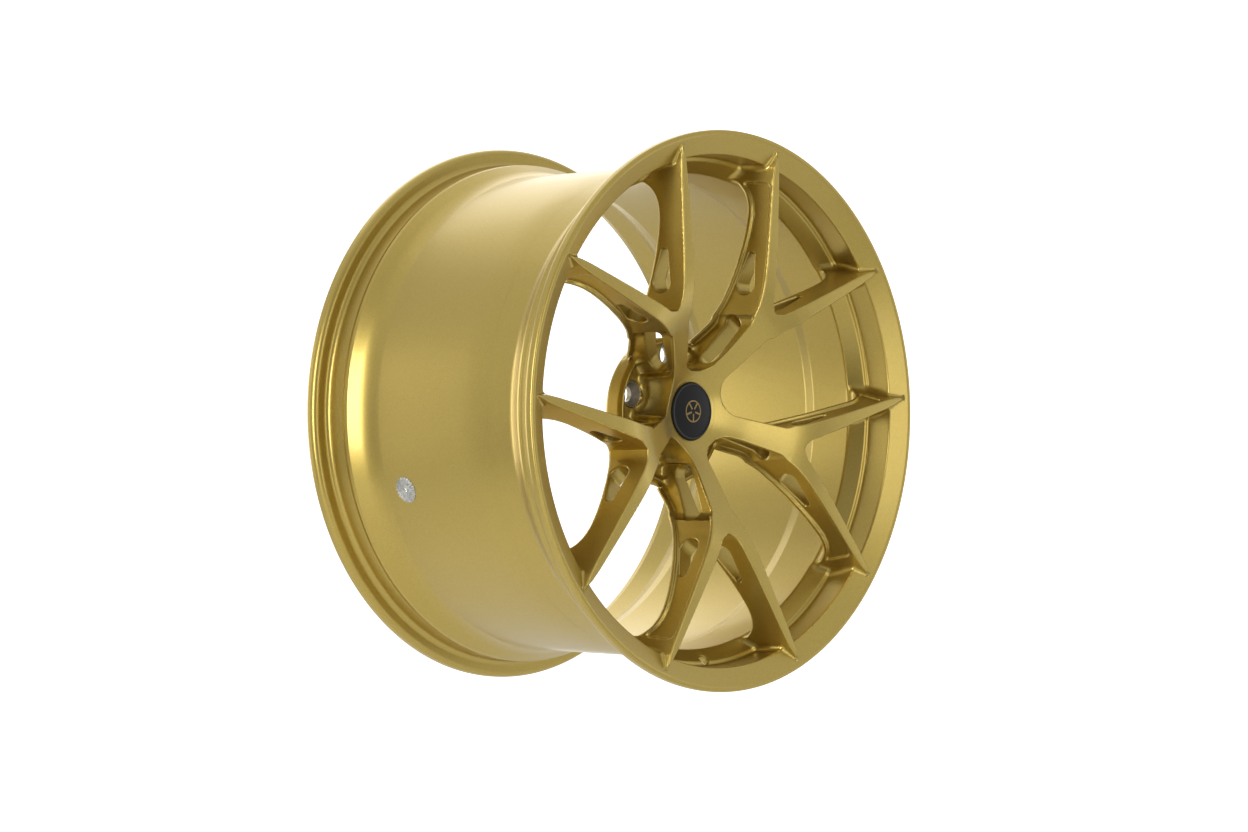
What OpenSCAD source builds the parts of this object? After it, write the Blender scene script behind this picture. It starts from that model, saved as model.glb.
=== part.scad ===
// One-piece forged racing wheel rim, 20 x 11.5 J, five Y-shaped spokes.
// Axis of rotation along Y, outboard face toward -Y, +Z up, millimetres.
// Everything is drawn lying down (axis up, outboard up) and stood up at the end.

/* [Rim] */
// radius of the tyre bead seat at the flange
bead_seat_r = 256.4; // [180:0.1:320]
// height of the flange above the bead seat
flange_h = 17.3; // [14:0.1:20]
// distance between the two flange faces
rim_width = 292.1; // [200:0.1:340]
// curl radius of the flange
flange_curl_r = 9.65; // [8:0.05:12]
// overall width over both lips
overall_w = 318; // [220:0.5:400]
// outer radius of the straight part of the barrel
barrel_r = 243; // [170:0.5:300]
// radius of the drop centre behind the outboard seat
well_r = 239; // [165:0.5:296]
// wall thickness of the barrel
barrel_wall = 5; // [3.5:0.25:9]
// inner radius of the sloping outboard lip
lip_inner_r = 250; // [175:0.5:300]

/* [Spokes] */
// turn of the first spoke from straight up
spoke_phase = -36; // [-72:0.5:72]
// half width of a spoke stem at its face
stem_half = 12.5; // [8:0.5:20]
// distance from the axis to the fork of a spoke
fork_r = 117; // [95:0.5:140]
// half width of a fork arm at its root
arm_root_half = 6.5; // [4:0.25:10]
// half width of a fork arm where it meets the lip
arm_tip_half = 2.6; // [1.5:0.1:6]
// how much each side wall of a fork arm widens from face to back
flare = 5.5; // [0:0.25:9]
// how much each side wall of a stem widens from face to hub
stem_flare = 2.4; // [0:0.1:4]
// width of the slot milled through a stem
stem_slot_w = 18; // [10:0.5:30]

/* [Hub] */
// height of the hub mounting face above the rim centre plane
offset_et = 58; // [20:0.5:80]
// centre bore radius
centre_bore_r = 33.3; // [25:0.1:45]
// outer radius of the centre tower
tower_r = 41; // [36:0.5:50]
// outer radius of the hub pad
pad_r = 72; // [64:0.5:90]
// bolt circle radius
bolt_circle_r = 56; // [45:0.1:70]
// outer radius of a ball-seat insert
seat_outer_r = 13; // [10:0.1:16]
// bolt hole radius through a ball-seat insert
bolt_hole_r = 7.75; // [5.5:0.05:9]
// height of a ball-seat insert
seat_h = 13; // [8:0.5:20]
// radius of the valve hole
valve_hole_r = 5.65; // [4:0.05:8]

/* [Cap] */
// radius of the cap face
cap_r = 28; // [22:0.1:36]
// gap all round the cap
cap_gap = 0.35; // [0.3:0.05:1]
// height of the dome of the cap badge
badge_dome = 1.2; // [0.5:0.1:3]

/* [Seal] */
// radius of the foil seal on the barrel
seal_r = 13; // [8:0.5:20]
// thickness of the foil seal
seal_t = 0.4; // [0.2:0.05:1]

/* [Hidden] */
$fn = 180;
flange_r = bead_seat_r + flange_h;
hw = overall_w / 2;
fw = rim_width / 2;
// how much farther out the lip stands than on the 20 inch wheel
grow = lip_inner_r - 250;
curl_s = fw + flange_curl_r;
curl_c = flange_r - flange_curl_r;
// a lip that stands far past its flange leaves the curl a full quarter turn
curl_a = asin(min(1, (hw - curl_s) / flange_curl_r));
seat_fillet = 6;
cap_s = offset_et + 46;
seat_top = offset_et + 15;
gold = [0.72, 0.60, 0.27];

// Points on an arc, angle measured from the radial direction toward outboard.
function arc(c, r, a0, a1, n) = [for (i = [0:n])
  [c[0] + r * cos(a0 + (a1 - a0) * i / n), c[1] + r * sin(a0 + (a1 - a0) * i / n)]];

// ---- surfaces of revolution shared by the spokes, as [radius, height] ----
// outboard face of the spokes and hub
FACE = [[20, cap_s - 0.4], [30, cap_s], [45, cap_s + 9.3], [62, cap_s + 20.6],
  [80, cap_s + 30.5], [100, cap_s + 41.6], [110, cap_s + 46.2], [120, cap_s + 49.8],
  [134, cap_s + 53], [150, hw - 0.9], [170, hw - 0.2], [190, hw], [262 + grow, hw]];
// inboard face of the spokes, ending inside the rim wall
ROOT = [[262 + grow, hw - 6], [253 + grow, hw - 14], [252.5 + grow, hw - 30], [246 + grow, hw - 42], [239 + grow, hw - 50]];
BACK = [[233 + grow, hw - 46], [229 + grow, hw - 39.5], [222 + grow, hw - 33], [212 + grow, hw - 29.5], [200, hw - 29],
  [188, hw - 31], [170, hw - 36.5], [150, hw - 44], [135, hw - 51], [120, hw - 60],
  [105, hw - 70.5], [90, hw - 81.5], [80, hw - 89], [71, hw - 95], [20, hw - 95]];

module spoke_band() rotate_extrude($fn = 180) polygon(concat(FACE, ROOT, BACK));

// ---- rim ----
RIM = concat(
  [[lip_inner_r, hw - 9.5], [lip_inner_r + 19.2, hw]],
  arc([curl_c, curl_s], flange_curl_r, curl_a, -90, 9),
  arc([bead_seat_r + seat_fillet, fw - seat_fillet], seat_fillet, 90, 180, 6),
  [[bead_seat_r - 1.3, fw - 19.55], [bead_seat_r - 0.5, fw - 21.45], [bead_seat_r - 0.4, fw - 23.85],
   [bead_seat_r - 1.6, fw - 26.25], [well_r + 3, fw - 42.55], [well_r + 0.8, fw - 45.55], [well_r, fw - 49.05],
   [well_r, fw - 82.05], [well_r + 0.6, fw - 88.05], [barrel_r, fw - 102.05],
   [barrel_r, 58.05 - fw], [barrel_r + 0.7, 52.05 - fw],
   [barrel_r + 2.6, 46.05 - fw], [bead_seat_r - 1.7, 28.55 - fw], [bead_seat_r - 0.5, 26.45 - fw],
   [bead_seat_r - 0.4, 24.55 - fw], [bead_seat_r - 1.4, 21.55 - fw]],
  arc([bead_seat_r + seat_fillet, seat_fillet - fw], seat_fillet, 180, 270, 6),
  arc([curl_c, -curl_s], flange_curl_r, 90, -curl_a, 9),
  [[lip_inner_r + 13, -hw], [lip_inner_r + 3, -hw + 1.5], [lip_inner_r + 0.4, -hw + 5],
   [lip_inner_r, -hw + 10], [lip_inner_r, 25.05 - fw], [lip_inner_r - 1.6, 28.85 - fw],
   [barrel_r - barrel_wall + 1.8, 44.55 - fw], [barrel_r - barrel_wall + 0.4, 50.05 - fw],
   [barrel_r - barrel_wall, 58.05 - fw], [barrel_r - barrel_wall, fw - 100.05],
   [well_r - barrel_wall + 0.4, fw - 86.05], [well_r - barrel_wall, fw - 80.05],
   [well_r - barrel_wall, fw - 40.05], [well_r - barrel_wall + 1.3, hw - 50],
   [lip_inner_r - 4.6, hw - 38.2]],
  arc([lip_inner_r - 5.5, hw - 32], 5.5, -75, 0, 5));

module rim_solid() rotate_extrude($fn = 180) polygon(RIM);

// The valve hole is square to the ledge it is drilled through.
valve_tilt = 131;
module valve_cut() rotate([0, 0, 180])
  translate([0, lip_inner_r - 6.5, hw - 40.8]) rotate([-valve_tilt, 0, 0]) translate([0, 0, -14])
    cylinder(h = 34, r = valve_hole_r, $fn = 48);

module rim_barrel() color(gold) rotate([90, 0, 0]) difference() { rim_solid(); valve_cut(); }

// ---- hub ----
HUB = [[centre_bore_r, offset_et], [pad_r - 1.5, offset_et], [pad_r, offset_et + 1.5],
  [pad_r, seat_top + 4.4], [pad_r - 0.8, seat_top + 5], [pad_r - 2.2, seat_top + 5],
  [pad_r - 4.2, seat_top + 1.2], [pad_r - 6, seat_top], [tower_r + 1, seat_top],
  [tower_r, seat_top + 1.2], [tower_r, cap_s + 7.2],
  [cap_r + cap_gap + 3, cap_s + 0.4], [cap_r + cap_gap, cap_s - 0.6],
  [cap_r + cap_gap, cap_s - 4], [cap_r - 0.9, cap_s - 4], [cap_r - 0.9, cap_s - 10],
  [max(centre_bore_r - 3, cap_r + 2 * cap_gap), cap_s - 12], [centre_bore_r, cap_s - 16]];

module hub_solid() rotate_extrude($fn = 180) polygon(HUB);

module at_lug(i) rotate([0, 0, -72 * i]) translate([0, bolt_circle_r, 0]) children();

module hub() color(gold) rotate([90, 0, 0]) difference() {
  hub_solid();
  for (i = [0:4]) at_lug(i) rotate_extrude($fn = 72) polygon([
    [0, offset_et - 1], [bolt_hole_r + 1, offset_et - 1], [bolt_hole_r + 1, seat_top - seat_h],
    [seat_outer_r, seat_top - seat_h], [seat_outer_r, seat_top - 0.8], [seat_outer_r + 0.6, seat_top - 0.8],
    [seat_outer_r + 0.6, seat_top + 60], [0, seat_top + 60]]);
}

// ---- spokes ----
// A block with flat ends whose walls lean out toward the back.
// p, q: centre points [x, y] of its two ends; hp, hq: half widths at the face; n: unit normal.
z_hi = hw + 8;
z_lo = offset_et;
module leaning(p, q, hp, hq, fl) {
  d = [q[0] - p[0], q[1] - p[1]];
  l = sqrt(d[0] * d[0] + d[1] * d[1]);
  n = [d[1] / l, -d[0] / l];
  g = fl * (z_hi - z_lo) / 45;
  polyhedron(points = [
    [p[0] - n[0] * hp, p[1] - n[1] * hp, z_hi], [p[0] + n[0] * hp, p[1] + n[1] * hp, z_hi],
    [q[0] + n[0] * hq, q[1] + n[1] * hq, z_hi], [q[0] - n[0] * hq, q[1] - n[1] * hq, z_hi],
    [p[0] - n[0] * (hp + g), p[1] - n[1] * (hp + g), z_lo], [p[0] + n[0] * (hp + g), p[1] + n[1] * (hp + g), z_lo],
    [q[0] + n[0] * (hq + g), q[1] + n[1] * (hq + g), z_lo], [q[0] - n[0] * (hq + g), q[1] - n[1] * (hq + g), z_lo]],
    faces = [[3, 2, 1, 0], [4, 5, 6, 7], [1, 5, 4, 0], [2, 6, 5, 1], [3, 7, 6, 2], [0, 4, 7, 3]]);
}

arm_a = [10, fork_r - 12];
arm_b = [94 + 0.35 * grow, 252 + 0.937 * grow];
arm_ang = atan2(arm_b[0] - arm_a[0], arm_b[1] - arm_a[1]);

// Rounded tear-shaped hole milled through one fork arm, fat end toward the hub.
module tear(side) rotate([0, 0, -side * arm_ang])
  translate([side * (arm_a[0] * cos(arm_ang) - arm_a[1] * sin(arm_ang)), arm_a[0] * sin(arm_ang) + arm_a[1] * cos(arm_ang), 0])
    rotate([0, 90, 0]) translate([0, 0, -30]) linear_extrude(height = 60)
      polygon(concat(
        [for (a = [100:20:260]) [-(hw - 28) + 6.5 * sin(a + 180), 39 + 6.5 * cos(a)]],
        [for (a = [-60:30:60]) [-(hw - 21.5) + 2.5 * sin(a + 180), 66 + 2.5 * cos(a)]]));

// Long slot milled through a stem, under its face.
module stem_slot() translate([0, 62, hw - 61]) rotate([22, 0, 0]) rotate([0, 90, 0]) translate([0, 0, -60])
  linear_extrude(height = 120) union() {
    circle(d = stem_slot_w, $fn = 60);
    translate([0, 38]) circle(d = stem_slot_w, $fn = 60);
    translate([-stem_slot_w / 2, 0]) square([stem_slot_w, 38]);
  }

module spoke(i) color(gold) rotate([90, 0, 0]) rotate([0, 0, -(spoke_phase + 72 * i)]) difference() {
  intersection() {
    spoke_band();
    union() {
      leaning([0, 30], [0, fork_r], stem_half, stem_half, stem_flare);
      for (s = [-1, 1])
        leaning([s * arm_a[0], arm_a[1]], [s * arm_b[0], arm_b[1]], arm_root_half, arm_tip_half, flare);
    }
  }
  rim_solid();
  hub_solid();
  cylinder(h = 200, r = tower_r, $fn = 180);
  for (s = [-1, 1]) tear(s);
  stem_slot();
}

module spoke_1() spoke(0);
module spoke_2() spoke(1);
module spoke_3() spoke(2);
module spoke_4() spoke(3);
module spoke_5() spoke(4);

// ---- ball-seat inserts ----
module lug_seat(i) color([0.50, 0.49, 0.46]) rotate([90, 0, 0]) at_lug(i)
  rotate_extrude($fn = 72) polygon([
    [bolt_hole_r, seat_top - seat_h], [seat_outer_r, seat_top - seat_h], [seat_outer_r, seat_top],
    [seat_outer_r - 0.8, seat_top], [seat_outer_r - 2, seat_top - 1.6],
    [seat_outer_r - 3.4, seat_top - 4], [bolt_hole_r + 0.8, seat_top - 6.2], [bolt_hole_r, seat_top - 7.4]]);

module lug_seat_1() lug_seat(0);
module lug_seat_2() lug_seat(1);
module lug_seat_3() lug_seat(2);
module lug_seat_4() lug_seat(3);
module lug_seat_5() lug_seat(4);

// ---- centre cap ----
skirt_r = cap_r - 2.6;
module cap_body() color([0.06, 0.06, 0.06]) rotate([90, 0, 0]) difference() {
  rotate_extrude($fn = 120) polygon([
    [0, cap_s - 1.4], [cap_r - 2.2, cap_s - 1.4], [cap_r - 2.2, cap_s + 1.2], [cap_r - 0.8, cap_s + 1.4],
    [cap_r, cap_s + 0.4], [cap_r, cap_s - 3.6], [skirt_r, cap_s - 3.6], [skirt_r, cap_s - 10.6],
    [skirt_r + 1.1, cap_s - 11.8], [skirt_r + 0.6, cap_s - 14], [skirt_r - 1.8, cap_s - 14],
    [skirt_r - 1.8, cap_s - 3.6], [0, cap_s - 3.6]]);
  for (a = [0:30:150]) rotate([0, 0, a]) translate([-2, -40, cap_s - 16]) cube([4, 80, 11]);
}

module cap_spring() color([0.66, 0.66, 0.67]) rotate([90, 0, 0])
  translate([0, 0, cap_s - 11.6]) rotate_extrude($fn = 120) translate([skirt_r - 1.8 - 0.8, 0]) circle(r = 0.8, $fn = 24);

module cap_badge() color([0.04, 0.04, 0.04]) rotate([90, 0, 0])
  rotate_extrude($fn = 120) polygon(concat([[0, cap_s - 1.4], [cap_r - 2.3, cap_s - 1.4], [cap_r - 2.3, cap_s + 0.9]],
    [for (k = [1:6]) [(cap_r - 2.3) * (1 - k / 6), cap_s + 0.9 + badge_dome * (1 - pow(1 - k / 6, 2))]]));

// Plain five-ray ornament standing a hair above the badge.
module cap_mark() color([0.62, 0.52, 0.30]) rotate([90, 0, 0]) intersection() {
  linear_extrude(height = 200) {
    difference() { circle(r = 11, $fn = 96); circle(r = 9.6, $fn = 96); }
    for (i = [0:4]) rotate(-(spoke_phase + 72 * i)) translate([-0.9, 2.5]) square([1.8, 7.6]);
  }
  difference() {
    translate([0, 0, cap_s]) rotate_extrude($fn = 96) polygon(concat([[0, 0], [13, 0]],
      [for (k = [0:4]) [13 * (1 - k / 4), 1.15 + badge_dome * (1 - pow(13 * (1 - k / 4) / (cap_r - 2.3), 2))]]));
    rotate_extrude($fn = 120) polygon(concat([[0, cap_s - 1.4], [cap_r - 2.3, cap_s - 1.4], [cap_r - 2.3, cap_s + 0.9]],
      [for (k = [1:6]) [(cap_r - 2.3) * (1 - k / 6), cap_s + 0.9 + badge_dome * (1 - pow(1 - k / 6, 2))]]));
  }
}

// ---- foil seal on the barrel ----
module foil_seal() color([0.62, 0.62, 0.60]) rotate([90, 0, 0]) intersection() {
  difference() {
    translate([0, 0, -90]) cylinder(h = 60, r = barrel_r + seal_t, $fn = 360);
    translate([0, 0, -91]) cylinder(h = 62, r = barrel_r, $fn = 360);
  }
  rotate([0, 0, 108]) translate([0, barrel_r - 12, -60]) rotate([-90, 0, 0])
    linear_extrude(height = 30) polygon([for (k = [0:63]) (seal_r - (k % 2 == 0 ? 0 : 0.9)) * [cos(k * 360 / 64), sin(k * 360 / 64)]]);
}

rim_barrel();
hub();
spoke_1();
spoke_2();
spoke_3();
spoke_4();
spoke_5();
lug_seat_1();
lug_seat_2();
lug_seat_3();
lug_seat_4();
lug_seat_5();
cap_body();
cap_spring();
cap_badge();
cap_mark();
foil_seal();
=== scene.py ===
# %% Load the frame
import bpy, math
import numpy as np
from mathutils import Matrix, Vector


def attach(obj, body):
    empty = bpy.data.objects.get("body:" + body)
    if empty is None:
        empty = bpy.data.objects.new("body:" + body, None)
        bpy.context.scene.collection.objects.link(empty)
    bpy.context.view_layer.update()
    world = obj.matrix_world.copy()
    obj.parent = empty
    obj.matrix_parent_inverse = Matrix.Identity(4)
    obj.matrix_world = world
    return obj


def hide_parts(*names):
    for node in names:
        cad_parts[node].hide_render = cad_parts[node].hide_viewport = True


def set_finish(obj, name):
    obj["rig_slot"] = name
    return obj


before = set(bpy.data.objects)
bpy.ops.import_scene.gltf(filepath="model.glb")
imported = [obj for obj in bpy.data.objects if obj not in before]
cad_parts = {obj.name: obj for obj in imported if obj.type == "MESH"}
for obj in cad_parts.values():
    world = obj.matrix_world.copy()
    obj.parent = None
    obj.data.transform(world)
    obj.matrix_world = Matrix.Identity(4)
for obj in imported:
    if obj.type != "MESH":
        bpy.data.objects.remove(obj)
bpy.context.view_layer.update()

# %% [markdown]
# ## The camera
# The camera stands about three and a third metres from the wheel with a long
# lens, level with the axle, so the circles stay clean ellipses. The camera
# could be aimed with a constraint, but writing its right, up and back directions
# straight into its matrix leaves nothing to guess.

# %% Camera
MM = 0.001
cam_data = bpy.data.cameras.new("camera")
cam_data.lens, cam_data.sensor_width = 94.79, 36.0
camera = bpy.data.objects.new("camera", cam_data)
bpy.context.scene.collection.objects.link(camera)
right = Vector((0.69714, -0.71690, -0.00517))
up = Vector((0.0, -0.00721, 0.99995))
back = right.cross(up).normalized()
camera.matrix_world = Matrix((
    (right.x, up.x, back.x, -2.3681),
    (right.y, up.y, back.y, -2.3135),
    (right.z, up.z, back.z, -0.0205),
    (0, 0, 0, 1)))
bpy.context.scene.camera = camera
print("camera", [round(v, 3) for v in camera.location])

# %% [markdown]
# ## Rounding with distances
# A forged and milled wheel has no sharp joins: every place where a spoke meets
# the rim is a ball-nose cutter's fillet. Such a body could be pushed together
# from subdivision cages, but the many holes and pockets make that cage hard to
# keep clean. Here the body is described by a distance instead: a function that
# is negative in metal and positive in air. Two such distances join with a round
# fillet of a chosen radius, and cut each other with a rounded edge.

# %% Round union and round cut
def join(a, b, radius):
    """Union of two bodies with a concave fillet of this radius."""
    return (np.maximum(radius, np.minimum(a, b))
            - np.hypot(np.maximum(radius - a, 0), np.maximum(radius - b, 0)))


def both(a, b, radius):
    """Intersection of two bodies with the shared edge rounded."""
    return (np.minimum(-radius, np.maximum(a, b))
            + np.hypot(np.maximum(radius + a, 0), np.maximum(radius + b, 0)))


def cut(a, b, radius):
    """Body a with body b taken out, the rim of the cut rounded."""
    return both(a, -b, radius)


# %% [markdown]
# ## The rim's section
# The rim is turned on a lathe, so one section says everything: flange curl,
# five degree bead seat with its hump, drop centre, barrel. The section is typed
# as corners, each with the radius the turning tool leaves there.

# %% Section of the rim
RIM_CORNERS = [  # radius, height toward the outboard side, corner radius, in mm
    (250.0, 149.5, 1.6), (269.2, 159.0, 2.6), (273.6, 159.0, 3.2), (273.6, 146.05, 9.4),
    (256.4, 146.05, 6.0), (255.0, 126.0, 3.0), (255.9, 123.4, 1.5), (255.1, 120.2, 2.0),
    (242.2, 103.5, 6.0), (239.4, 97.0, 14.0), (243.0, 44.0, 400.0),
    (243.0, -97.0, 70.0), (255.2, -118.6, 0.9), (256.0, -121.8, 1.2),
    (255.0, -125.6, 2.0), (256.4, -146.05, 6.0), (273.6, -146.05, 9.4), (273.6, -159.0, 3.6),
    (262.0, -159.0, 3.0), (252.4, -157.0, 4.0), (250.0, -148.0, 5.0), (250.0, -121.0, 3.0),
    (248.0, -117.0, 3.0), (240.4, -101.5, 8.0), (238.0, -90.0, 8.0), (238.0, 46.0, 10.0),
    (234.0, 60.0, 8.0), (234.0, 107.4, 1.6), (245.6, 120.8, 2.2),
    (250.0, 121.6, 5.0)]


def rounded_loop(corners, step=1.3):
    """A closed outline whose corners are arcs, and its outward directions."""
    out, facing, n = [], [], len(corners)
    for i, (x, y, radius) in enumerate(corners):
        p = np.array((x, y))
        a = np.array(corners[i - 1][:2]) - p
        b = np.array(corners[(i + 1) % n][:2]) - p
        la, lb = np.linalg.norm(a), np.linalg.norm(b)
        a, b = a / la, b / lb
        half = math.acos(max(-1.0, min(1.0, float(a @ b)))) / 2
        reach = min(radius / math.tan(half), 0.49 * la, 0.49 * lb)
        real = reach * math.tan(half)
        centre = p + (a + b) / np.linalg.norm(a + b) * real / math.sin(half)
        first, last = p + a * reach - centre, p + b * reach - centre
        turn = math.pi - 2 * half
        sign = 1.0 if first[0] * last[1] - first[1] * last[0] > 0 else -1.0
        count = max(2, int(real * turn / step) + 2)
        for k in range(count + 1):
            g = sign * turn * k / count
            arm = np.array((first[0] * math.cos(g) - first[1] * math.sin(g),
                            first[0] * math.sin(g) + first[1] * math.cos(g)))
            out.append(centre + arm)
            facing.append(arm / real * sign)
    out, facing = np.array(out), np.array(facing)
    ahead = np.roll(out, -1, axis=0)
    area = float((out[:, 0] * ahead[:, 1] - ahead[:, 0] * out[:, 1]).sum())
    return out, facing * (1.0 if area > 0 else -1.0)


rim_loop, rim_facing = rounded_loop(RIM_CORNERS)
print("rim section", len(rim_loop), "points, widest radius",
      round(float(rim_loop[:, 0].max()), 2), "mm")


# %% Distance to a closed outline
def outline_distance(loop, x, y):
    """Signed distance from points to a closed outline, negative inside."""
    near = np.full(x.shape, 1e9)
    inside = np.zeros(x.shape, bool)
    for (x0, y0), (x1, y1) in zip(loop, np.roll(loop, -1, axis=0)):
        ex, ey = x1 - x0, y1 - y0
        px, py = x - x0, y - y0
        share = np.clip((px * ex + py * ey) / max(ex * ex + ey * ey, 1e-12), 0, 1)
        near = np.minimum(near, (px - share * ex) ** 2 + (py - share * ey) ** 2)
        crosses = (y0 > y) != (y1 > y)
        if abs(ey) > 1e-12:
            inside ^= crosses & (x < x0 + (y - y0) / ey * ex)
    return np.where(inside, -1.0, 1.0) * np.sqrt(near)


# %% [markdown]
# ## The spoke star
# Five stems rise steeply from the hub, fork, and run out level with the lip.
# All their outboard faces lie on one dish that was turned first, and their
# backs on another, so each is a height that depends on the radius alone.

# %% Dish heights
FACE_R = [20, 30, 45, 62, 80, 100, 110, 120, 134, 150, 170, 190, 280]
FACE_S = [103.0, 104.0, 113.0, 124.4, 134.4, 145.6, 150.2, 153.6, 156.9, 158.2, 158.8,
          159.0, 159.0]
BACK_R = [20, 69, 76, 82, 90, 105, 120, 135, 150, 170, 188, 202, 214, 224, 231, 236, 244]
BACK_S = [58.0, 58.0, 66.5, 72.0, 78.5, 89.5, 100.5, 109.5, 116.5, 124.0, 128.8, 130.4,
          129.4, 125.6, 119.4, 112.5, 100.0]


def smooth_table(xs, ys, width, step=1.0):
    """A finely spaced, gently smoothed copy of a short table of heights."""
    x = np.arange(xs[0], xs[-1] + step, step)
    reach = np.arange(-20, 21) * step
    weight = np.exp(-0.5 * (reach / width) ** 2)
    y = np.interp(x, xs, ys)
    padded = np.concatenate([np.full(20, y[0]), y, np.full(20, y[-1])])
    y = np.convolve(padded, weight / weight.sum(), "valid")
    return x, y, 1.0 / np.sqrt(1.0 + np.gradient(y, x) ** 2)


FACE = smooth_table(FACE_R, FACE_S, 4.0)
BACK = smooth_table(BACK_R, BACK_S, 2.5)


def above(table, r, s):
    """Distance above a dish, positive on its outboard side."""
    return (s - np.interp(r, table[0], table[1])) * np.interp(r, table[0], table[2])


print("dish from", round(float(FACE[1][0]), 1), "to", round(float(FACE[1][-1]), 1), "mm")

# %% [markdown]
# ## One spoke in plan
# Each arm is a straight taper between two milled walls. The walls lean out a
# little with depth, because the cutter that makes them is tapered, so the fork
# is widest at its back. The fork's two arms are mirror images, so the plan is
# written for the right half, with u across the spoke and v along it.

# %% Walls of the arms and the stem
OUTER_WALL = (24.4, 117.5, 0.4985, 0.8669)
INNER_WALL = (9.6, 124.6, 0.5540, 0.8325)


def beside(wall, u, v):
    """Distance to the right of a straight wall that runs outward."""
    return (u - wall[0]) * wall[3] - (v - wall[1]) * wall[2]


def star(r, s, u, v):
    """Distance to the spokes, not yet trimmed to the outboard dish."""
    depth = np.clip(np.interp(r, FACE[0], FACE[1]) - s, 0, 60)
    lean = np.interp(r, [110, 150, 190, 262], [0.05, 0.11, 0.20, 0.24])
    point = np.interp(r, [236, 250, 262], [0.0, 0.7, 2.8])
    outer = beside(OUTER_WALL, u, v) - lean * depth + point
    inner = -beside(INNER_WALL, u, v) - lean * depth + point
    inner_far = -beside(INNER_WALL, -u, v) - lean * depth
    outer_far = beside(OUTER_WALL, -u, v) - lean * depth
    stem = u - np.interp(v, [45, 60, 82, 104, 122], [11.2, 11.4, 12.8, 14.4, 17.0]) - 0.05 * depth
    stem = both(stem, v - 119.0, 6.0)
    arm = np.maximum(np.maximum(outer, inner), 104.0 - v)
    arm_far = np.maximum(np.maximum(outer_far, inner_far), 104.0 - v)
    plan = join(join(arm, arm_far, 4.0), stem, 9.0)
    side = join(np.maximum(outer, 104.0 - v), stem, 9.0)
    return both(plan, -above(BACK, r, s), 3.0), side, depth


# %% [markdown]
# ## What is milled out of each spoke
# Weight comes out where it is not seen from straight ahead. A long channel runs
# down both outer walls, a slot goes through the stem behind its front beam, and
# a drop-shaped hole goes through each arm.

# %% Channel, slot and drop
def taper(p, q, start, end, r_start, r_end):
    """Distance to a round-ended shape that narrows from start to end."""
    dx, dy = end[0] - start[0], end[1] - start[1]
    t = np.clip(((p - start[0]) * dx + (q - start[1]) * dy) / (dx * dx + dy * dy), 0, 1)
    return np.hypot(p - start[0] - t * dx, q - start[1] - t * dy) - r_start - t * (r_end - r_start)


def lighten(body, side, depth, r, s, u, v):
    """Takes the channel, the stem's slot and the arm's drop out of a spoke."""
    thick = np.interp(r, FACE[0], FACE[1]) - np.interp(r, BACK[0], BACK[1])
    along_radius = both(52.0 - r, r - 234.0, 7.0)
    band = both(np.abs(depth - thick / 2 + 0.5) - thick / 2 + 5.0, along_radius, 7.0)
    deep = np.interp(r, [100, 122, 234], [6.2, 3.8, 3.0])
    body = cut(body, both(band, -side - deep, 1.6), 1.2)
    body = cut(body, both(taper(r, s, (63.0, 98.5), (98.0, 113.5), 10.0, 9.4), u - 30.0, 1.0), 1.8)
    along = (u - 17.0) * 0.5255 + (v - 121.0) * 0.8508
    across = (u - 17.0) * 0.8508 - (v - 121.0) * 0.5255
    drop = taper(along, s, (17.5, 128.5), (46.0, 134.5), 10.0, 3.6)
    return cut(body, both(drop, np.abs(across) - 26.0, 1.0), 1.5)


# %% [markdown]
# ## Hub, bolt sockets and bores
# The hub is turned with the rest: a tower round the cap and a pad behind it.
# Between the stems the pad carries the bolt seats, so the corner from tower to
# pad is scooped with a large ball cutter, then each seat gets a flat socket.

# %% Hub
TOWER_R, PAD_R, PAD_BACK, PAD_FLOOR = 40.0, 72.0, 58.0, 73.0
BOLT_CIRCLE, BOLTS = 56.0, 5
BORE = [(-5, 40), (33.3, 40), (33.3, 88), (30.3, 92), (27.1, 94), (27.1, 100),
        (28.35, 100), (28.35, 103.2), (31.2, 104.4), (33.0, 130), (-5, 130)]


def hub(r, s, u, v):
    """Distance to tower and pad, with the ring round the pad."""
    pad = both(both(r - PAD_R, PAD_BACK - s, 1.2), s - PAD_FLOOR, 0.6)
    lip = both(both(np.abs(r - 70.0) - 2.0, s - 78.0, 0.9), PAD_BACK - s, 0.5)
    tower = both(r - TOWER_R, PAD_BACK + 1.0 - s, 0.5)
    return join(join(pad, lip, 5.0), tower, 9.0)


def sockets(body, s, u, v):
    """Cuts the bolt sockets."""
    half = math.pi / BOLTS
    reach = np.hypot(u - BOLT_CIRCLE * math.sin(half), v - BOLT_CIRCLE * math.cos(half))
    body = cut(body, np.maximum(reach - 13.6, 72.2 - s), 0.8)
    body = cut(body, np.maximum(reach - 13.15, 59.9 - s), 0.2)
    return cut(body, reach - 8.8, 0.5)


# %% [markdown]
# ## The whole face
# The pieces are joined with the fillets that the cutter leaves: up to seven
# millimetres where arms meet the rim, up to twelve in the notches at the hub. Only
# then is the outboard dish turned, which gives every face its crisp outline.

# %% Distance to the metal
TABLE_STEP = 0.5
table_r = np.arange(18, 282, TABLE_STEP)
table_s = np.arange(48, 168, TABLE_STEP)
rim_table = outline_distance(rim_loop, *np.meshgrid(table_r, table_s, indexing="ij"))
bore_table = outline_distance(np.array(BORE, float), *np.meshgrid(table_r, table_s, indexing="ij"))
MID_WALL = ([66, 100, 107, 121, 126, 146, 153, 160],
            [236.5, 236.5, 238.8, 249.8, 252.5, 252.5, 262, 266])
VALVE = (243.5, 118.2, 5.65)
LEDGE_ALONG = (0.658, 0.753)


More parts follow.
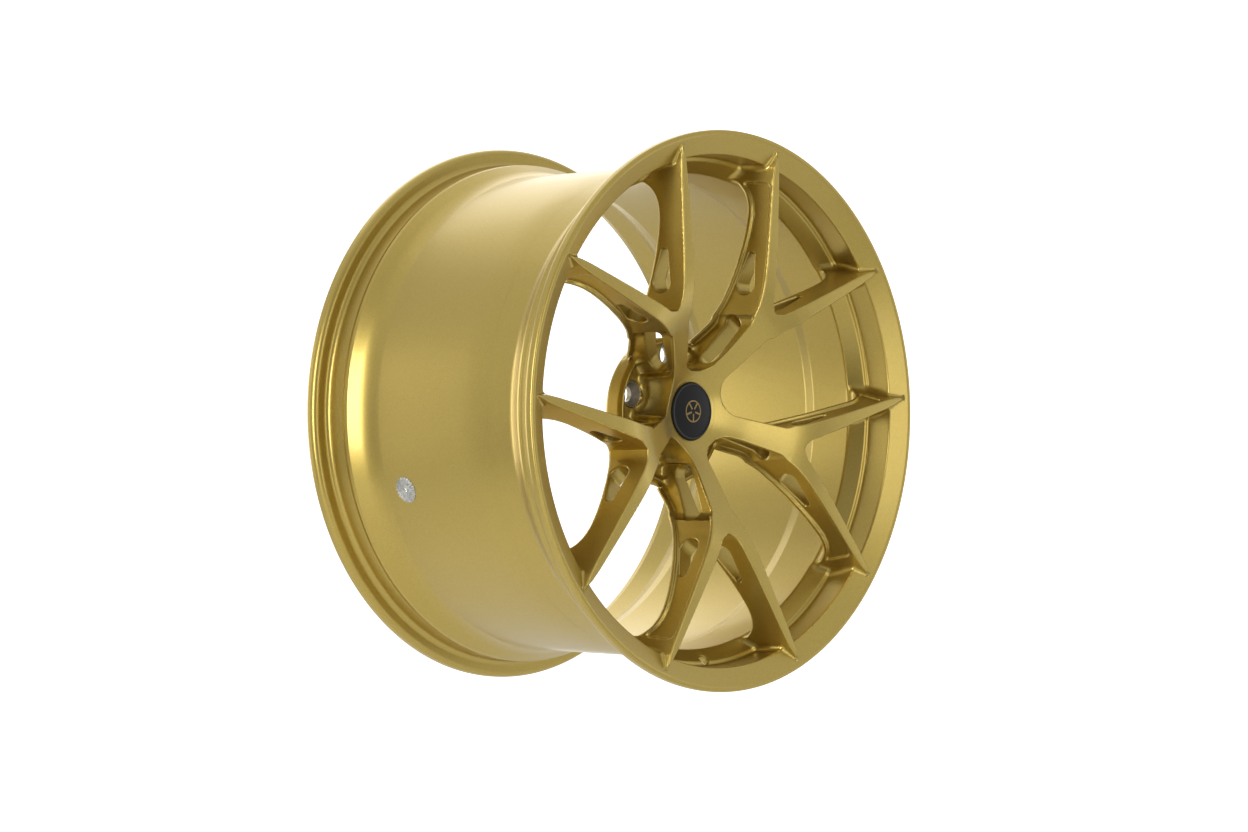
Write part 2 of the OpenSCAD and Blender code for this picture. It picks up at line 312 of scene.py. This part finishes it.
def look_up(table, r, s):
    """Value between the points of a table over radius and height."""
    i = np.clip((r - table_r[0]) / TABLE_STEP, 0, len(table_r) - 1.001)
    k = np.clip((s - table_s[0]) / TABLE_STEP, 0, len(table_s) - 1.001)
    i0, k0 = i.astype(int), k.astype(int)
    a, b = i - i0, k - k0
    return ((1 - a) * ((1 - b) * table[i0, k0] + b * table[i0, k0 + 1])
            + a * ((1 - b) * table[i0 + 1, k0] + b * table[i0 + 1, k0 + 1]))


def metal(r, turn, s):
    """Distance to the forging. turn is the angle from straight up, in radians."""
    pitch = 2 * math.pi / 5
    theta = np.abs(np.mod(turn, pitch) - pitch / 2)
    u, v = r * np.sin(theta), r * np.cos(theta)
    rim = look_up(rim_table, r, s)
    body, side, depth = star(r, s, u, v)
    body = lighten(body, side, depth, r, s, u, v)
    body = join(body, hub(r, s, u, v), np.interp(s, [70, 84, 96], [5.0, 10.0, 12.0]))
    body = join(body, rim, np.interp(s, [138, 148, 155], [7.0, 4.5, 1.6]))
    body = both(body, above(FACE, r, s), 1.2)
    body = sockets(body, s, u, v)
    body = cut(body, look_up(bore_table, r, s), 0.5)
    body = np.where(r > np.interp(s, MID_WALL[0], MID_WALL[1]), rim, np.minimum(body, rim))
    x, down = r * np.sin(turn), -r * np.cos(turn)
    slide = (down - VALVE[0]) * LEDGE_ALONG[0] + (s - VALVE[1]) * LEDGE_ALONG[1]
    hole = np.where(down > 200, np.hypot(x, slide) - VALVE[2], 50.0)
    return cut(body, hole, 0.5)


along_spoke = metal(np.array([40.0, 60.0, 240.0]), np.full(3, math.pi / 5), np.full(3, 100.0))
print("hub to rim, along a spoke:", [round(float(d), 1) for d in along_spoke])

# %% [markdown]
# ## From distance to mesh
# The distance is sampled on a ring-shaped grid, whose columns close on
# themselves, so the mesh has no seam. Every cell that the surface passes through
# gets one corner, and every grid edge that it crosses gets one quad. The
# corners are then slid onto the exact surface, and the surface's own slope gives
# the shading, so even a fine rounded edge catches light properly.

# %% Grid
SEAM = 66.0
STEP_R, STEP_S, COLUMNS = 1.75, 1.75, 720
KEPT_SHARE = 0.30   # of the faces, after the flat areas are thinned out
OUTER_RING = 150    # beyond this radius the seam belongs to the rim's walls
grid_r = np.arange(22.0, 278.0, STEP_R)
grid_s = SEAM + STEP_S * np.arange(-7, 56)
seam_row = 7
turns = 2 * math.pi * np.arange(COLUMNS) / COLUMNS
values = np.empty((len(grid_r), COLUMNS, len(grid_s)), np.float32)
for i, radius in enumerate(grid_r):
    T, S = np.meshgrid(turns, grid_s, indexing="ij")
    values[i] = metal(np.full(T.shape, radius), T, S)
print("grid", values.shape, "share of metal", round(float((values < 0).mean()), 3))

# %% Cells and quads
def ring_mesh(values, grid_r, grid_s):
    """Corners as (radius, column, height) and quads of the zero surface."""
    ni, nj, nk = values.shape
    inside = values < 0
    total = np.zeros((ni - 1, nj, nk - 1, 3), np.float32)
    count = np.zeros((ni - 1, nj, nk - 1), np.float32)
    wrap = lambda a, dj: np.roll(a, -dj, axis=1)
    for axis in range(3):
        for a in (0, 1):
            for b in (0, 1):
                lo = [0, 0, 0]
                other = [x for x in range(3) if x != axis]
                lo[other[0]], lo[other[1]] = a, b
                hi = list(lo)
                hi[axis] = 1
                at = lambda c: wrap(values, c[1])[c[0]:ni - 1 + c[0], :, c[2]:nk - 1 + c[2]]
                f, g = at(lo), at(hi)
                crossed = (f < 0) != (g < 0)
                t = np.where(crossed, f / np.where(crossed, f - g, 1), 0)
                for q in range(3):
                    total[..., q] += np.where(crossed, lo[q] + (t if q == axis else 0), 0)
                count += crossed
    active = count > 0
    ids = np.full(active.shape, -1, np.int64)
    ids[active] = np.arange(active.sum())
    where = np.argwhere(active)
    local = total[active] / count[active][:, None]
    place = where + local
    radius = grid_r[0] + place[:, 0] * (grid_r[1] - grid_r[0])
    height = grid_s[0] + place[:, 2] * (grid_s[1] - grid_s[0])
    quads = []
    for axis in range(3):
        other = [x for x in range(3) if x != axis]
        step = [0, 0, 0]
        step[axis] = 1
        f = inside[:ni - step[0], :, :nk - step[2]]
        g = wrap(inside, step[1])[step[0]:, :, step[2]:]
        i, j, k = np.nonzero(f != g)
        enters = g[i, j, k]
        keep = np.ones(len(i), bool)
        if axis != 0:
            keep &= (i > 0) & (i < ni - 1)
        if axis != 2:
            keep &= (k > 0) & (k < nk - 1)
        i, j, k, enters = i[keep], j[keep], k[keep], enters[keep]
        ring = []
        for a, b in ((0, 0), (1, 0), (1, 1), (0, 1)):
            back = [0, 0, 0]
            back[other[0]], back[other[1]] = a, b
            ring.append(ids[i - back[0], (j - back[1]) % nj, k - back[2]])
        quad = np.stack(ring, 1)
        flip = enters if axis != 1 else ~enters
        quad[flip] = quad[flip][:, ::-1]
        quads.append(quad)
    return radius, place[:, 1], height, where, np.concatenate(quads)


radius, column, height_s, cell, quads = ring_mesh(values, grid_r, grid_s)
turn = column * 2 * math.pi / COLUMNS
print(len(radius), "corners,", len(quads), "quads")


# %% Slide the corners onto the surface
def slope(x, y, s, e=0.15):
    """Distance and its slope at points given by x, y in the wheel's plane and height s."""
    f = lambda a, b, c: metal(np.hypot(a, b), np.arctan2(a, b), c)
    gx = f(x + e, y, s) - f(x - e, y, s)
    gy = f(x, y + e, s) - f(x, y - e, s)
    gs = f(x, y, s + e) - f(x, y, s - e)
    return f(x, y, s), np.stack([gx, gy, gs], 1) / (2 * e)


points = np.stack([radius * np.sin(turn), radius * np.cos(turn), height_s], 1).astype(float)
for turn_round in range(3):
    f, g = slope(points[:, 0], points[:, 1], points[:, 2])
    move = -(f / np.maximum((g ** 2).sum(1), 0.2))[:, None] * g
    length = np.linalg.norm(move, axis=1)
    points += move * np.minimum(1, 1.2 / np.maximum(length, 1e-9))[:, None]
print("largest miss", round(float(np.abs(f).max()), 2),
      "mm, typical", round(float(np.median(np.abs(f))), 4))
far_out = np.hypot(points[:, 0], points[:, 1]) > OUTER_RING
points[far_out & (cell[:, 2] == seam_row), 2] = SEAM
below_seam = far_out & (cell[:, 2] < seam_row)
quads = quads[~below_seam[quads].any(axis=1)]
used, quads = np.unique(quads, return_inverse=True)
quads = quads.reshape(-1, 4)
points = points[used]
_, normals = slope(points[:, 0], points[:, 1], points[:, 2])
normals /= np.maximum(np.linalg.norm(normals, axis=1), 1e-9)[:, None]
print("kept", len(points), "corners,", len(quads), "quads")


# %% Stand the face up
def new_object(name, points_mm, faces, normals=None):
    """A smooth mesh object from wheel coordinates (x, up, outboard) in mm."""
    mesh = bpy.data.meshes.new(name)
    to_row = lambda a: np.stack([a[:, 0], -a[:, 2], a[:, 1]], 1)
    mesh.from_pydata((to_row(points_mm) * MM).tolist(), [],
                     [tuple(map(int, f))[::-1] for f in faces])
    mesh.update()
    mesh.polygons.foreach_set("use_smooth", np.ones(len(mesh.polygons), bool))
    if normals is not None:
        mesh.normals_split_custom_set_from_vertices(to_row(normals).tolist())
    obj = bpy.data.objects.new(name, mesh)
    bpy.context.scene.collection.objects.link(obj)
    return obj


raw = new_object("raw_face", points, quads)
thinner = raw.modifiers.new("thin out flat areas", "DECIMATE")
thinner.ratio = KEPT_SHARE
bpy.context.view_layer.update()
thinned = raw.evaluated_get(bpy.context.evaluated_depsgraph_get()).to_mesh()
co = np.zeros(len(thinned.vertices) * 3)
thinned.vertices.foreach_get("co", co)
co = co.reshape(-1, 3) / MM
tris = [tuple(p.vertices)[::-1] for p in thinned.polygons]
points = np.stack([co[:, 0], co[:, 2], -co[:, 1]], 1)
bpy.data.objects.remove(raw)
f, normals = slope(points[:, 0], points[:, 1], points[:, 2])
at_seam = (points[:, 2] < SEAM + 0.6) & (np.hypot(points[:, 0], points[:, 1]) > OUTER_RING)
points[~at_seam] -= np.clip(f, -0.4, 0.4)[~at_seam, None] * normals[~at_seam]
normals /= np.maximum(np.linalg.norm(normals, axis=1), 1e-9)[:, None]
face_piece = new_object("forged_face", points, tris, normals)
print("face piece:", len(points), "corners,", len(tris), "faces")

# %% [markdown]
# ## The barrel
# The barrel carries no detail round its circumference, so it is turned: the
# section is spun about the axle. It meets the face piece in the drop centre,
# where both walls are straight, and the two share the same paint. A spin
# modifier would do too, but turning the section here keeps its exact facing
# directions, so the long flat areas shade without ripples.

# %% Turning
def turned(name, section, facing, around, axis=(0.0, 0.0), closed=False):
    """Spins a section of (radius, height) about an axis parallel to the axle."""
    section, facing = np.asarray(section, float), np.asarray(facing, float)
    a = 2 * math.pi * np.arange(around) / around
    sin, cos = np.sin(a)[:, None], np.cos(a)[:, None]
    pts = np.stack([axis[0] + sin * section[:, 0], axis[1] + cos * section[:, 0],
                    np.broadcast_to(section[:, 1], (around, len(section)))], 2).reshape(-1, 3)
    nrm = np.stack([sin * facing[:, 0], cos * facing[:, 0],
                    np.broadcast_to(facing[:, 1], (around, len(section)))], 2).reshape(-1, 3)
    n, rows = len(section), []
    for i in range(around):
        here, there = i * n, (i + 1) % around * n
        for j in range(n if closed else n - 1):
            k = (j + 1) % n
            rows.append((here + j, here + k, there + k, there + j))
    a, b, c, d = (pts[[row[q] for row in rows]] for q in (3, 2, 1, 0))
    if (np.cross(c - a, d - b) * nrm[[row[1] for row in rows]]).sum() < 0:
        rows = [row[::-1] for row in rows]
    return new_object(name, pts, rows, nrm)


low = rim_loop[:, 1] < SEAM - 0.5
first, last = np.nonzero(low)[0][[0, -1]]
outside, inside = rim_loop[first - 1:first + 1], rim_loop[last:last + 2]


def on_seam(pair):
    """The point of a segment of the section that lies at the seam's height."""
    return pair[0] + (pair[1] - pair[0]) * (SEAM - pair[0, 1]) / (pair[1, 1] - pair[0, 1])


section = np.vstack([on_seam(outside), rim_loop[low], on_seam(inside)])
facing = np.vstack([rim_facing[first], rim_facing[low], rim_facing[last]])
barrel = turned("forged_barrel", section, facing, 400)
print("barrel:", len(barrel.data.polygons), "quads, section of", len(section), "points")

for piece in (face_piece, barrel):
    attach(piece, "wheel")
    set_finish(piece, "gold_paint")
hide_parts("rim_barrel")
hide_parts("hub", *["spoke_%d" % k for k in range(1, 6)])

# %% [markdown]
# ## Bolt seats
# Each bolt presses on a bare ring with a ball-shaped seat, set in a socket in
# the hub. It is turned too, with a small radius on each corner.

# %% Bolt seats
SEAT_CORNERS = [(7.75, 60.0, 0.4), (13.0, 60.0, 0.4), (13.0, 73.0, 0.5), (12.2, 73.0, 0.3),
                (11.0, 71.2, 2.0), (9.6, 68.9, 3.0), (8.4, 66.4, 2.0), (7.75, 65.0, 0.6)]
seat_loop, seat_facing = rounded_loop(SEAT_CORNERS, 0.5)
seats = []
for k in range(5):
    phi = 2 * math.pi * k / 5
    seat = turned("ball_seat_%d" % (k + 1), seat_loop, seat_facing, 72,
                  (BOLT_CIRCLE * math.sin(phi), BOLT_CIRCLE * math.cos(phi)), closed=True)
    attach(seat, "wheel")
    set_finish(seat, "seat_metal")
    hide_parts("lug_seat_%d" % (k + 1))
    seats.append(seat)
print("seats:", [s.name for s in seats])

# %% [markdown]
# ## Foil seal
# A thin foil disc is stuck on the barrel. Its edge is pinked and its surface
# is pressed into pleats, so it sparkles: the pleats are real height here, as a
# bump texture alone would leave its outline flat.

# %% Foil seal
rings, around = 16, 144
a = 2 * math.pi * np.arange(around) / around
FOIL_R, FOIL_PLEATS, BARREL_R = 13.0, 24, 243.0
FOIL_TURN, FOIL_HEIGHT = math.radians(-108), -60
foil_points, foil_faces = [], []
for j in range(rings + 1):
    t = j / rings
    reach = FOIL_R * t * (1 + 0.03 * t ** 6 * np.cos(FOIL_PLEATS * a))
    lift = (0.25 + 0.22 * t ** 2 * np.cos(FOIL_PLEATS * a)
            + 0.12 * np.sin(9 * a + 7 * t) * np.sin(14 * t))
    phi = FOIL_TURN + reach * np.sin(a) / BARREL_R
    ring = np.stack([(BARREL_R + lift) * np.sin(phi), (BARREL_R + lift) * np.cos(phi),
                     FOIL_HEIGHT + reach * np.cos(a)], 1)
    foil_points.append(ring)
    if j:
        lo, hi = (j - 1) * around, j * around
        foil_faces += [(lo + i, lo + (i + 1) % around, hi + (i + 1) % around, hi + i)
                       for i in range(around)]
foil = new_object("foil_disc", np.vstack(foil_points), foil_faces)
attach(foil, "wheel")
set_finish(foil, "foil")
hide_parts("foil_seal")
print("foil:", len(foil_faces), "quads")

# %% [markdown]
# ## Centre cap
# The cap's clips and spring stay as designed. Its visible disc is turned afresh
# with a soft edge and a slight dome.

# %% Badge
badge_section = [(0.001, 102.6), (25.5, 102.6), (25.7, 102.8), (25.7, 104.7), (25.3, 105.05)]
badge_section += [(r, 105.05 + 1.05 * (1 - (r / 25.3) ** 2)) for r in np.linspace(24.6, 0.001, 24)]
edge = np.gradient(np.array(badge_section), axis=0)
badge_facing = np.stack([edge[:, 1], -edge[:, 0]], 1)
badge_facing /= np.linalg.norm(badge_facing, axis=1)[:, None]
badge = turned("cap_disc", badge_section, badge_facing, 128)
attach(badge, "cap")
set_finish(badge, "badge_black")
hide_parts("cap_badge")

# %% [markdown]
# ## Finishes
# The paint is a satin metallic: a base coat full of fine flakes under a thin
# clear coat. Flakes are too small to model, so a cell texture changes the
# colour a little from cell to cell, and a faint noise bump stands for the orange
# peel of sprayed paint. Numbers that are the same all over sit on the shader
# itself, so they can be read and changed in one place.

# %% Material helper
def finish(name, colour, metallic, roughness, coat=0.0):
    """A plain material, its node tree and its shader, ready for detail."""
    material = bpy.data.materials.new(name)
    material.use_nodes = True
    tree = material.node_tree
    shader = tree.nodes["Principled BSDF"]
    shader.inputs["Base Color"].default_value = (*colour, 1)
    shader.inputs["Metallic"].default_value = metallic
    shader.inputs["Roughness"].default_value = roughness
    shader.inputs["Coat Weight"].default_value = coat
    shader.inputs["Coat Roughness"].default_value = 0.14
    return material, tree, shader


def place(tree):
    """Object coordinates, in metres."""
    return tree.nodes.new("ShaderNodeTexCoord").outputs["Object"]


def noise(tree, scale, detail=4.0):
    node = tree.nodes.new("ShaderNodeTexNoise")
    node.inputs["Scale"].default_value = scale
    node.inputs["Detail"].default_value = detail
    tree.links.new(place(tree), node.inputs["Vector"])
    return node.outputs["Fac"]


def blend_colours(tree, shader, factor, dark, light, low=0.3, high=0.7):
    ramp = tree.nodes.new("ShaderNodeValToRGB")
    ramp.color_ramp.elements[0].position, ramp.color_ramp.elements[1].position = low, high
    ramp.color_ramp.elements[0].color = (*dark, 1)
    ramp.color_ramp.elements[1].color = (*light, 1)
    tree.links.new(factor, ramp.inputs["Fac"])
    tree.links.new(ramp.outputs["Color"], shader.inputs["Base Color"])


def vary_roughness(tree, shader, factor, low, high):
    spread = tree.nodes.new("ShaderNodeMapRange")
    spread.inputs["To Min"].default_value = low
    spread.inputs["To Max"].default_value = high
    tree.links.new(factor, spread.inputs["Value"])
    tree.links.new(spread.outputs["Result"], shader.inputs["Roughness"])


def bumps(tree, shader, factor, strength, distance):
    bump = tree.nodes.new("ShaderNodeBump")
    bump.inputs["Strength"].default_value = strength
    bump.inputs["Distance"].default_value = distance
    tree.links.new(factor, bump.inputs["Height"])
    tree.links.new(bump.outputs["Normal"], shader.inputs["Normal"])


# %% Gold paint
gold, tree, shader = finish("satin gold paint", (0.45, 0.33, 0.10), 0.92, 0.34, coat=0.3)
flakes = tree.nodes.new("ShaderNodeTexVoronoi")
flakes.inputs["Scale"].default_value = 1800
tree.links.new(place(tree), flakes.inputs["Vector"])
grey = tree.nodes.new("ShaderNodeRGBToBW")
tree.links.new(flakes.outputs["Color"], grey.inputs["Color"])
blend_colours(tree, shader, grey.outputs["Val"],
              (0.47, 0.345, 0.080), (0.55, 0.41, 0.105), 0.1, 0.9)
vary_roughness(tree, shader, noise(tree, 60), 0.33, 0.37)
bumps(tree, shader, noise(tree, 420, 2.0), 0.06, 0.0002)

# %% Bare metal of the seats
bare, tree, shader = finish("turned bare metal", (0.50, 0.48, 0.45), 1.0, 0.38)
blend_colours(tree, shader, noise(tree, 900), (0.42, 0.40, 0.37), (0.58, 0.56, 0.53))
bumps(tree, shader, noise(tree, 2600, 2.0), 0.12, 0.0001)

# %% Cap plastics
moulded, tree, shader = finish("moulded black plastic", (0.012, 0.012, 0.012), 0.0, 0.45)
bumps(tree, shader, noise(tree, 1800), 0.15, 0.0001)
vary_roughness(tree, shader, noise(tree, 90), 0.40, 0.50)
lens_black, tree, shader = finish("satin black disc", (0.006, 0.006, 0.007), 0.0, 0.30)
shader.inputs["Specular IOR Level"].default_value = 0.25
vary_roughness(tree, shader, noise(tree, 120), 0.26, 0.34)
bumps(tree, shader, noise(tree, 700, 2.0), 0.03, 0.0001)
print_gold, tree, shader = finish("gold print", (0.30, 0.20, 0.07), 0.6, 0.45)
blend_colours(tree, shader, noise(tree, 1500), (0.26, 0.175, 0.06), (0.34, 0.23, 0.085))

# %% Spring wire and foil
wire, tree, shader = finish("bright spring wire", (0.55, 0.55, 0.56), 1.0, 0.25)
vary_roughness(tree, shader, noise(tree, 700), 0.2, 0.32)
foil_metal, tree, shader = finish("pressed foil", (0.60, 0.60, 0.57), 1.0, 0.30)
blend_colours(tree, shader, noise(tree, 260), (0.38, 0.38, 0.35), (0.75, 0.75, 0.72))
bumps(tree, shader, noise(tree, 520, 3.0), 0.5, 0.0006)

FINISHES = {"gold_paint": gold, "seat_metal": bare, "cap_black": moulded, "badge_black": lens_black,
            "mark_gold": print_gold, "spring_steel": wire, "foil": foil_metal}
for obj in (face_piece, barrel, foil, badge, *seats):
    obj.data.materials.clear()
    obj.data.materials.append(FINISHES[obj["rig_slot"]])
CAD_SLOTS = {"cap_body": "cap_black", "cap_spring": "spring_steel", "cap_mark": "mark_gold"}
for node, slot_name in CAD_SLOTS.items():
    cad_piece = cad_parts[node]
    cad_piece.data.materials.clear()
    cad_piece.data.materials.append(FINISHES[slot_name])
    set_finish(cad_piece, slot_name)
print("finishes:", sorted(FINISHES))

# %% [markdown]
# ## Studio
# The wheel stands in a white room. What shows in satin paint is the
# room itself: a bright ceiling, a pale floor, soft boxes at the sides and a
# darker side behind the camera. A glowing wall behind the wheel gives the white
# ground without any light source in view.

# %% Room
def sheet_of_light(name, centre, facing_to, width, height, power, tint=(1, 1, 1)):
    """A soft box at a point, turned toward another point, in metres and watts."""
    data = bpy.data.lights.new(name, "AREA")
    data.shape, data.size, data.size_y = "RECTANGLE", width, height
    data.energy, data.color = power, tint
    lamp = bpy.data.objects.new(name, data)
    lamp.location = centre
    lamp.rotation_euler = (Vector(facing_to) - Vector(centre)).to_track_quat("-Z", "Y").to_euler()
    bpy.context.scene.collection.objects.link(lamp)
    return lamp


def panel(name, centre, toward, width, height, material):
    """A flat sheet of the room, turned toward a point."""
    mesh = bpy.data.meshes.new(name)
    w, h = width / 2, height / 2
    mesh.from_pydata([(-w, -h, 0), (w, -h, 0), (w, h, 0), (-w, h, 0)], [], [(0, 1, 2, 3)])
    obj = bpy.data.objects.new(name, mesh)
    obj.location = centre
    obj.rotation_euler = (Vector(toward) - Vector(centre)).to_track_quat("Z", "Y").to_euler()
    bpy.context.scene.collection.objects.link(obj)
    mesh.materials.append(material)
    return obj


scene = bpy.context.scene
scene.view_settings.view_transform = "Standard"
world = bpy.data.worlds.new("room")
scene.world = world
world.use_nodes = True
wt = world.node_tree
sky = wt.nodes["Background"]
sky.inputs["Strength"].default_value = 1.0
look = wt.nodes.new("ShaderNodeTexCoord").outputs["Generated"]


def brightness_toward(direction, dark, light, start, stop):
    """Brightness of the room by the angle to one direction."""
    dot = wt.nodes.new("ShaderNodeVectorMath")
    dot.operation = "DOT_PRODUCT"
    dot.inputs[1].default_value = Vector(direction).normalized()
    wt.links.new(look, dot.inputs[0])
    spread = wt.nodes.new("ShaderNodeMapRange")
    spread.interpolation_type = "SMOOTHSTEP"
    limits = {"From Min": start, "From Max": stop, "To Min": dark, "To Max": light}
    for socket, value in limits.items():
        spread.inputs[socket].default_value = value
    wt.links.new(dot.outputs["Value"], spread.inputs["Value"])
    return spread.outputs["Result"]


def add(a, b):
    node = wt.nodes.new("ShaderNodeMath")
    wt.links.new(a, node.inputs[0])
    wt.links.new(b, node.inputs[1])
    return node.outputs["Value"]


behind_wheel = brightness_toward((0.717, 0.697, 0.15), 0.0, 0.35, 0.5, 0.92)
overhead = brightness_toward((0, 0, 1), 0.17, 0.50, -0.7, 0.9)
camera_side = brightness_toward((-0.717, -0.697, 0), 0.22, -0.10, 0.2, 0.9)
total_light = add(add(behind_wheel, overhead), camera_side)
wt.links.new(total_light, sky.inputs["Color"])

glow, tree, shader = finish("white backdrop", (0.9, 0.9, 0.9), 0.0, 0.9)
shader.inputs["Emission Color"].default_value = (1, 1, 1, 1)
shader.inputs["Emission Strength"].default_value = 1.02
paper, tree, shader = finish("pale floor", (0.80, 0.80, 0.79), 0.0, 0.8)
ahead = -back
backdrop = panel("backdrop", tuple(ahead * 7.0), tuple(camera.location), 9.0, 6.0, glow)
floor = panel("floor", (0, 0, -0.95), (0, 0, 5), 4.2, 4.2, paper)

sheet_of_light("ceiling", (0.3, 0.9, 2.2), (0.1, 0.2, 0), 2.6, 1.6, 3.5)
sheet_of_light("front box", (-0.35, -3.0, 0.1), (0, 0, 0), 1.5, 2.2, 20)
sheet_of_light("left box", (-3.0, -0.55, 0.25), (0, 0, 0), 0.40, 2.0, 42)
sheet_of_light("rear box", (1.1, 2.1, 1.5), (0.1, 0, -0.1), 2.2, 1.4, 8)
sheet_of_light("left rear box", (-1.2, 1.95, 0.0), (0.1, 0.1, 0), 0.8, 1.3, 1.5)
sheet_of_light("barrel box", (-0.6, 1.25, 0.05), (0.22, 0, -0.05), 0.5, 0.8, 3)
sheet_of_light("right box", (2.7, -1.6, -0.1), (0.1, 0, 0), 0.8, 1.8, 4.2)

# %% Update the scene
bpy.context.view_layer.update()
